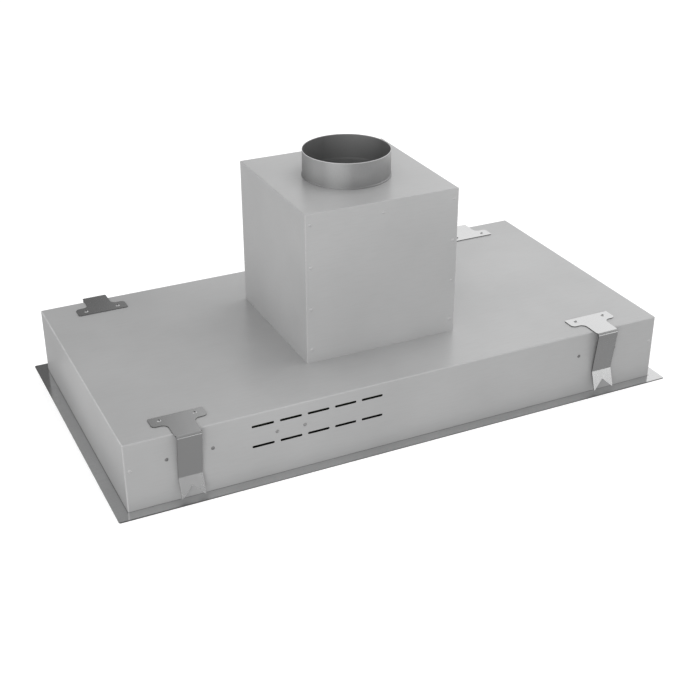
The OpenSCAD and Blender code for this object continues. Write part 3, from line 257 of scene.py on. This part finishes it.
def sheet_metal(
    name,
    dark,
    light,
    metallic,
    rough,
    grain=(1, 1, 1),
    painted_edge_highlight=0.0,
    blotch=6.0,
    bump=0.05,
    fleck=0.16,
    streaks=1.0,
    marks=None,
):
    """Rolled sheet: cloudy tone with fine flecks, grain in roughness and bump, and a painted highlight
    along edges.

    The marks add a share of another tone where a mask is, such as a painted highlight along bends or
    painted shade on cut faces.
    """
    s = Shader(name)
    clouds = s.noise(blotch, 3.0)
    fine = s.noise(420.0, 3.0, grain)
    look = s.graded(clouds, 0.3, 0.7, tone(dark, COOL), tone(light, COOL))
    look = s.mix(s.ramp(fine, 0.0, fleck, 0.45, 0.75), look, tone(dark - 14, COOL))
    if painted_edge_highlight:
        # Painted highlight: edges are lightened towards a pale tone, standing in for light caught along
        # them.
        look = s.mix(s.math("MULTIPLY", s.edges(0.0012), painted_edge_highlight), look, tone(225, COOL))
    for mask, value in marks(s) if marks else ():
        look = s.mix(mask, look, tone(value, COOL))
    s.colour(look)
    s.set(Metallic=metallic)
    spread = 0.045 * streaks
    patchy = 0.03 * min(1.0, 3 * streaks)
    streaked = s.ramp(fine, rough - spread, rough + spread, 0.3, 0.7)
    s.rough(s.math("ADD", streaked, s.ramp(clouds, -patchy, patchy, 0.3, 0.7)))
    s.bump(fine, bump, 0.0004)
    return s.material


def rivet_heads(name):
    """Rivet heads, darker beside the clips, which is painted shade, paler by the slots, and as the wall
    near the corners.
    """
    s = Shader(name)
    across = s.size(s.place, "X")
    clouds = s.noise(160.0, 2.0)
    dark, middling, pale = (
        s.graded(clouds, 0.35, 0.65, tone(low), tone(high))
        for low, high in ((122, 136), (146, 158), (188, 198))
    )
    # The darkest tone, on the rivets beside the clips, is painted shade.
    by_slots = s.math("LESS_THAN", across, SLOTS_HALF_SPAN)
    near_corner = s.math("GREATER_THAN", across, CORNER_RIVETS_X)
    s.colour(s.mix(near_corner, s.mix(by_slots, dark, middling), pale))
    s.set(Metallic=0.4)
    s.rough(s.ramp(clouds, 0.36, 0.46, 0.3, 0.7))
    s.bump(s.noise(1200.0, 2.0), 0.05, 0.0002)
    return s.material


def rolled_collar(name, node):
    """Spun collar: a painted highlight on two opposite sides and along the rim, and painted shade inside.
    """
    s = Shader(name)
    low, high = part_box(node)
    middle = ((low[0] + high[0]) / 2, (low[1] + high[1]) / 2, 0.0)
    highlight_side = (-0.6, -0.8, 0)
    facing_inwards = -0.3
    rim_height = 0.0012

    level = s.vector("MULTIPLY", s.vector("SUBTRACT", s.place, middle), (1, 1, 0))
    outward = s.vector("NORMALIZE", level)
    turn = s.math("ABSOLUTE", s.vector("DOT_PRODUCT", outward, highlight_side, "Value"))
    # Painted highlight: a pale band on the two sides that face along highlight_side.
    painted_highlight = s.math("POWER", s.ramp(turn, 0.0, 1.0, 0.93, 1.0), 1.6)
    painted_inside_shade = s.math("LESS_THAN", s.vector("DOT_PRODUCT", outward, s.facing, "Value"), facing_inwards)

    clouds = s.noise(8.0, 3.0)
    fine = s.noise(700.0, 3.0, (1, 1, 0.3))
    look = s.graded(clouds, 0.3, 0.7, tone(140, COOL), tone(150, COOL))
    look = s.mix(painted_highlight, look, tone(168, COOL))
    # Painted shade inside, lighter where it faces the painted highlight.
    look = s.mix(painted_inside_shade, look, s.graded(turn, 0.72, 1.0, tone(130, COOL), tone(152, COOL)))
    # Painted highlight along the rim.
    look = s.mix(s.near("Z", high[2], rim_height), look, tone(206, COOL))
    s.colour(s.mix(s.ramp(fine, 0.0, 0.1, 0.45, 0.75), look, tone(118, COOL)))
    s.set(Metallic=0.5)
    s.rough(s.ramp(fine, 0.38, 0.42, 0.3, 0.7))
    s.bump(fine, 0.02, 0.0004)
    return s.material


def spangled_zinc(name):
    """Galvanised sheet: large pale crystals, each with its own tone and roughness."""
    s = Shader(name)
    cells = s.add("ShaderNodeTexVoronoi", feature="F1")
    cells.inputs["Scale"].default_value = 130.0
    s.link(s.mapping((1, 1, 1)), cells.inputs["Vector"])
    split = s.add("ShaderNodeSeparateColor")
    s.link(cells.outputs["Color"], split.inputs["Color"])
    crystal = split.outputs["Red"]
    look = s.mix(crystal, tone(176, ZINC_TINT), tone(204, ZINC_TINT))
    s.colour(s.mix(s.ramp(s.noise(9.0, 2.0), 0.0, 0.35, 0.3, 0.7), look, tone(160, COOL)))
    s.set(Metallic=0.85)
    s.rough(s.ramp(crystal, 0.34, 0.5))
    s.bump(s.noise(900.0, 2.0), 0.05, 0.0003)
    return s.material


def cast_black(name, value, rough):
    """Stoved black paint on metal, with orange-peel bump and grey rubs on edges."""
    s = Shader(name)
    peel = s.noise(700.0, 2.0)
    look = s.graded(s.noise(14.0, 2.0), 0.35, 0.65, tone(value), tone(value + 14))
    s.colour(s.mix(s.math("MULTIPLY", s.edges(0.0008), 0.5), look, tone(value + 70)))
    s.rough(s.ramp(peel, rough - 0.05, rough + 0.06, 0.3, 0.7))
    s.bump(peel, 0.12, 0.0004)
    return s.material


# Plastics, board and lens


def moulded(name, value, tint=(1.0, 1.0, 1.0), rough=0.5, grain=1100.0, bump=0.15):
    """Moulded plastic or rubber with a fine spark-eroded grain."""
    s = Shader(name)
    texture = s.noise(grain, 2.0)
    s.colour(s.graded(s.noise(18.0, 2.0), 0.35, 0.65, tone(value, tint), tone(value + 9, tint)))
    s.rough(s.ramp(texture, rough - 0.06, rough + 0.07, 0.3, 0.7))
    s.bump(texture, bump, 0.0003)
    return s.material


def circuit_board(name):
    """Green board with a grid of paler tracks under the lacquer."""
    s = Shader(name)
    bricks = s.add("ShaderNodeTexBrick")
    bricks.inputs["Scale"].default_value = 160.0
    bricks.inputs["Mortar Size"].default_value = 0.06
    for socket, colour in (
        ("Color1", tone(52, LACQUER_GREEN)),
        ("Color2", tone(66, LACQUER_GREEN)),
        ("Mortar", tone(104, TRACK_GREEN)),
    ):
        bricks.inputs[socket].default_value = (*colour, 1)
    s.link(s.mapping((1, 1, 1), (math.radians(90), 0, 0)), bricks.inputs["Vector"])
    s.colour(bricks.outputs["Color"])
    s.rough(s.ramp(s.noise(300.0), 0.3, 0.42, 0.3, 0.7))
    s.bump(bricks.outputs["Fac"], 0.2, 0.0002)
    return s.material


def frosted_lens(name):
    """Opal lens with a finely frosted surface."""
    s = Shader(name)
    fine = s.noise(1500.0, 2.0)
    s.colour(s.graded(s.noise(60.0), 0.35, 0.65, tone(232), tone(243)))
    s.rough(s.ramp(fine, 0.22, 0.34, 0.3, 0.7))
    s.set(Coat_Weight=0.3, Coat_Roughness=0.08, Subsurface_Weight=0.15, Subsurface_Scale=0.004)
    s.bump(fine, 0.2, 0.0003)
    return s.material


# Marks on the sheets, and the table of materials


def satin_sheet(name, box, weights):
    """Satin sheet of a folded box, with a painted highlight along its bends and painted shade on the slot
    walls.
    """

    def marks(s):
        # Painted highlight along the bends, broken into patches.
        patches = s.ramp(s.noise(30.0, 2.0), 0.4, 1.0, 0.3, 0.7)
        painted_bend_highlight = s.math("MULTIPLY", s.bends(box, weights), patches)
        # The slot walls get painted shade, near black.
        return (painted_bend_highlight, 222), (s.slot_walls(), 20)

    return sheet_metal(
        name,
        dark=175,
        light=183,
        metallic=0.22,
        rough=0.31,
        grain=(0.08, 1, 1),
        bump=0.02,
        streaks=0.12,
        marks=marks,
    )


def flange_marks(s):
    """Painted shade: a dark line at the casing's foot, and one along the rim."""
    foot = s.math("MULTIPLY", s.painted_foot_shade(CASING[0], CASING[1]), 0.6)
    return (foot, 120), (s.painted_rim_shade(FLANGE[0], FLANGE[1]), 116)


def clip_marks(s):
    """Painted shade on the rim of each clip's plate and on its side faces."""
    just_above = 0.0001
    return (s.plate_rim(CASING[2] + just_above), 130), (s.painted_side_shade(), 96)


def screw_marks(s):
    """Painted shade of a cross recess on each clip screw, two to a clip."""
    screw_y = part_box("clip_screws")[1][1] - SCREW_HEAD_R
    clips = [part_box(clip) for clip in ("clip_front_left", "clip_front_right")]
    offsets = (-SCREW_HALF_SPACING, SCREW_HALF_SPACING)
    places = [
        ((low[0] + high[0]) / 2 + offset, y)
        for low, high in clips
        for offset in offsets
        for y in (-screw_y, screw_y)
    ]
    return ((s.painted_recess_shade(places), 30),)


MATERIALS = {
    "satin_sheet": satin_sheet("satin_sheet", CASING, weights=(0.22, 0.65, 0.05)),
    "flange_steel": sheet_metal(
        "flange_steel",
        dark=214,
        light=222,
        metallic=1.0,
        rough=0.17,
        grain=(0.03, 1, 1),
        blotch=4.0,
        bump=0.02,
        marks=flange_marks,
    ),
    "spring_steel": sheet_metal(
        "spring_steel",
        dark=216,
        light=226,
        metallic=1.0,
        rough=0.2,
        grain=(1, 0.06, 0.06),
        painted_edge_highlight=0.18,
        bump=0.006,
        fleck=0.06,
        streaks=0.3,
        marks=clip_marks,
    ),
    "collar_steel": rolled_collar("collar_steel", "duct_collar"),
    "zinc_sheet": spangled_zinc("zinc_sheet"),
    "rivets": rivet_heads("rivets"),
    "fixings": sheet_metal(
        "fixings",
        dark=204,
        light=216,
        metallic=0.75,
        rough=0.28,
        blotch=60.0,
        bump=0.03,
        marks=screw_marks,
    ),
    "aluminium": sheet_metal(
        "aluminium", dark=200, light=214, metallic=0.9, rough=0.34, grain=(0.1, 1, 1), blotch=12.0
    ),
    "motor_black": cast_black("motor_black", value=44, rough=0.42),
    "rubber": moulded("rubber", 34, rough=0.7, grain=700.0, bump=0.25),
    "dark_plastic": moulded("dark_plastic", 10, tint=(1.0, 1.0, 1.03), rough=0.6),
    "circuit_board": circuit_board("circuit_board"),
    "white_plastic": moulded("white_plastic", 224, tint=(1.0, 0.995, 0.975), rough=0.4),
    "lens": frosted_lens("lens"),
    "magnet": moulded("magnet", 66, tint=(1.0, 0.99, 0.98), rough=0.55, grain=500.0, bump=0.3),
}

MOTOR_BOX = satin_sheet("satin_sheet_motor_box", half_box("motor_box_top"), weights=(0.1, 0.25, 0.05))

for subpart in record["subparts"]:
    node = subpart["node"]
    material = MOTOR_BOX if node.startswith("motor_box") else MATERIALS[subpart["material_slot"]]
    mesh = nodes[node].data
    mesh.materials.clear()
    mesh.materials.append(material)

# Floor


def plane(name, corners, material):
    """A flat four-cornered piece of the studio."""
    mesh = bpy.data.meshes.new(name)
    mesh.from_pydata(corners, [], [(0, 1, 2, 3)])
    mesh.materials.append(material)
    made = bpy.data.objects.new(name, mesh)
    bpy.context.scene.collection.objects.link(made)
    return made


def level_corners(x, y, z):
    """Corners of a level rectangle between two values of x and two of y."""
    return [(x[0], y[0], z), (x[1], y[0], z), (x[1], y[1], z), (x[0], y[1], z)]


def seen_rays(shader_tree):
    """1 for camera, glossy and transmission rays."""
    path = shader_tree.nodes.new("ShaderNodeLightPath")
    total = path.outputs["Is Camera Ray"]
    for ray in ("Is Glossy Ray", "Is Transmission Ray"):
        node = shader_tree.nodes.new("ShaderNodeMath")
        node.operation = "MAXIMUM"
        shader_tree.links.new(total, node.inputs[0])
        shader_tree.links.new(path.outputs[ray], node.inputs[1])
        total = node.outputs["Value"]
    return total


def floor_material(lift=0.42, fade_start=2.5, fade_end=6.0):
    """White floor: a diffuse part that takes the shadow, lifted to white where it is seen.

    It is clear from below, and to light that bounces, so that the underside is lit and can be seen.
    Far out it fades into the white world.
    """
    s = Shader("studio_floor")
    s.colour(s.mix(s.noise(0.8, 2.0), tone(222), tone(227)))
    s.set(Roughness=0.9, Specular_IOR_Level=0.0, Emission_Color=(1, 1, 1, 1))
    s.link(s.ramp(seen_rays(s.tree), 0.0, lift), s.bsdf.inputs["Emission Strength"])
    path = s.add("ShaderNodeLightPath").outputs
    from_below = s.add("ShaderNodeNewGeometry").outputs["Backfacing"]
    distance = s.vector("LENGTH", s.place, output="Value")
    far_out = s.ramp(distance, 0.0, 1.0, fade_start, fade_end)
    clear = s.chain("MAXIMUM", path["Is Diffuse Ray"], path["Is Shadow Ray"], from_below, far_out)
    blend = s.add("ShaderNodeMixShader")
    s.link(clear, blend.inputs["Fac"])
    s.link(s.bsdf.outputs["BSDF"], blend.inputs[1])
    s.link(s.add("ShaderNodeBsdfTransparent").outputs["BSDF"], blend.inputs[2])
    s.link(blend.outputs["Shader"], s.tree.nodes["Material Output"].inputs["Surface"])
    return s.material


FLOOR_SPAN = (-30.0, 30.0)
FLOOR_Z = -0.0004
plane("studio_floor", level_corners(FLOOR_SPAN, FLOOR_SPAN, FLOOR_Z), floor_material())

# Grey cards that reflections see

NO_FADE = (8.0, 9.0)


def card(name, corners, grey, fade=NO_FADE):
    """Grey card that only reflections see. It fades out between two values of x."""
    material = bpy.data.materials.new(name)
    material.use_nodes = True
    tree = material.node_tree
    tree.nodes.clear()
    place = tree.nodes.new("ShaderNodeTexCoord")
    split = tree.nodes.new("ShaderNodeSeparateXYZ")
    tree.links.new(place.outputs["Object"], split.inputs["Vector"])
    fading = tree.nodes.new("ShaderNodeMapRange")
    fading.interpolation_type = "SMOOTHSTEP"
    fading.inputs["From Min"].default_value = fade[0]
    fading.inputs["From Max"].default_value = fade[1]
    tree.links.new(split.outputs["X"], fading.inputs["Value"])
    glow = tree.nodes.new("ShaderNodeEmission")
    glow.inputs["Color"].default_value = (grey, grey, grey, 1)
    clear = tree.nodes.new("ShaderNodeBsdfTransparent")
    blend = tree.nodes.new("ShaderNodeMixShader")
    tree.links.new(fading.outputs["Result"], blend.inputs["Fac"])
    tree.links.new(glow.outputs["Emission"], blend.inputs[1])
    tree.links.new(clear.outputs["BSDF"], blend.inputs[2])
    out = tree.nodes.new("ShaderNodeOutputMaterial")
    tree.links.new(blend.outputs["Shader"], out.inputs["Surface"])
    made = plane(name, corners, material)
    made.visible_camera = False
    made.visible_diffuse = False
    made.visible_shadow = False
    made.visible_transmission = False


def flat_card(name, x, y, z, grey):
    """Level grey card."""
    card(name, level_corners(x, y, z), grey)


def wall_card(name, y, x, z, grey, fade=NO_FADE):
    """Upright grey card along X at a distance y."""
    corners = [(x[0], y, z[0]), (x[1], y, z[0]), (x[1], y, z[1]), (x[0], y, z[1])]
    card(name, corners, grey, fade)


ROOM_TOP = 4.0
BACK_Y = 2.6
FRONT_Y = -3.2
FRONT_SEAM_Z = 0.9
FLOOR_CARDS_X = (-0.9, 0.9)
FLOOR_CARDS_LEFT = -1.2
BACK_SEAM_Y = 0.5
# Level cards and strips start this far outside the flange.
CARD_GAP = 0.0005
STRIP_WIDTH = 0.004
STRIP_Z = 0.0002
side_x = FLANGE[0] + CARD_GAP
side_y = FLANGE[1] + CARD_GAP
outer_x = side_x + STRIP_WIDTH
outer_y = side_y + STRIP_WIDTH
strip_half = FLANGE[0] + STRIP_WIDTH

wall_card("grey_flag", y=BACK_Y, x=(-3.0, 1.4), z=(0.0, ROOM_TOP), grey=0.15, fade=(0.05, 1.2))
wall_card("high_flag", y=2.59, x=(0.55, 2.0), z=(1.65, ROOM_TOP), grey=0.48, fade=(1.2, 1.9))
wall_card("front_flag", y=FRONT_Y, x=(-4.0, 5.0), z=(FRONT_SEAM_Z, ROOM_TOP), grey=0.28)
wall_card(
    "low_front_flag", y=FRONT_Y, x=(-4.0, 3.4), z=(0.0, FRONT_SEAM_Z), grey=0.46, fade=(0.2, 3.2)
)
flat_card("roof_flag", x=(-3.0, 4.0), y=(FRONT_Y, BACK_Y), z=ROOM_TOP, grey=0.36)
flat_card("floor_flag_front", x=FLOOR_CARDS_X, y=(-1.2, -side_y), z=0.0, grey=0.3)
flat_card("floor_flag_back", x=FLOOR_CARDS_X, y=(side_y, BACK_SEAM_Y), z=0.0, grey=0.3)
flat_card("floor_flag_far", x=(FLOOR_CARDS_LEFT, FLOOR_CARDS_X[1]), y=(BACK_SEAM_Y, 1.5), z=0.0, grey=0.45)
flat_card("floor_flag_left", x=(FLOOR_CARDS_LEFT, -side_x), y=(-side_y, side_y), z=0.0, grey=0.52)

# Near-black strips just outside the flange, which its edge faces reflect: painted shade under the edges.
for name, x, y in (
    ("painted_shade_strip_front", (-strip_half, strip_half), (-outer_y, -side_y)),
    ("painted_shade_strip_back", (-strip_half, strip_half), (side_y, outer_y)),
    ("painted_shade_strip_left", (-outer_x, -side_x), (-outer_y, outer_y)),
    ("painted_shade_strip_right", (side_x, outer_x), (-outer_y, outer_y)),
):
    flat_card(name, x, y, STRIP_Z, grey=0.05)

# Lamps and world


def lamp(name, location, target, size, power, glint=False):
    """Round lamp. A glint lamp gives no diffuse light, and only a glint lamp shows in reflections."""
    data = bpy.data.lights.new(name, "AREA")
    data.shape = "DISK"
    data.size = size
    data.energy = power
    made = bpy.data.objects.new(name, data)
    made.location = location
    made.rotation_mode = "QUATERNION"
    made.rotation_quaternion = (Vector(target) - Vector(location)).to_track_quat("-Z", "Y")
    made.visible_glossy = glint
    made.visible_diffuse = not glint
    bpy.context.scene.collection.objects.link(made)


HOOD_MIDDLE = (0, 0, 0.1)
lamp("key", location=(1.5, 0.3, 3.4), target=HOOD_MIDDLE, size=3.0, power=49)
lamp("fill", location=(-1.6, -3.0, 0.9), target=HOOD_MIDDLE, size=2.6, power=58)
lamp("side", location=(-2.9, 0.2, 0.45), target=(-0.1, 0, 0.15), size=1.8, power=16)
lamp("glint", location=(3.0, -0.6, 2.8), target=HOOD_MIDDLE, size=0.35, power=4, glint=True)

LIGHT_GREY = (0.7, 0.7, 0.7, 1)
WHITE = (1, 1, 1, 1)
world = bpy.data.worlds.new("studio")
bpy.context.scene.world = world
world.use_nodes = True
tree = world.node_tree
background = tree.nodes["Background"]
shade = tree.nodes.new("ShaderNodeMix")
shade.data_type = "RGBA"
shade.inputs[6].default_value = LIGHT_GREY
shade.inputs[7].default_value = WHITE
tree.links.new(seen_rays(tree), shade.inputs["Factor"])
tree.links.new(shade.outputs[2], background.inputs["Color"])

# Camera, as fitted to the photograph

PHOTO_WIDTH = 697
FOCAL_PIXELS = 1247.06
SENSOR_WIDTH = 36.0
LOOKS_DOWN = 28.26
TURNED_RIGHT = 25.77

camera_data = bpy.data.cameras.new("camera")
camera_data.sensor_width = SENSOR_WIDTH
camera_data.lens = SENSOR_WIDTH * FOCAL_PIXELS / PHOTO_WIDTH
camera_data.clip_end = 200.0
camera = bpy.data.objects.new("camera", camera_data)
camera.location = (-0.8466, -1.7614, 1.0996)
camera.rotation_euler = (math.radians(90 - LOOKS_DOWN), 0, math.radians(-TURNED_RIGHT))
bpy.context.scene.collection.objects.link(camera)

scene = bpy.context.scene
scene.camera = camera
scene.view_settings.view_transform = "Standard"
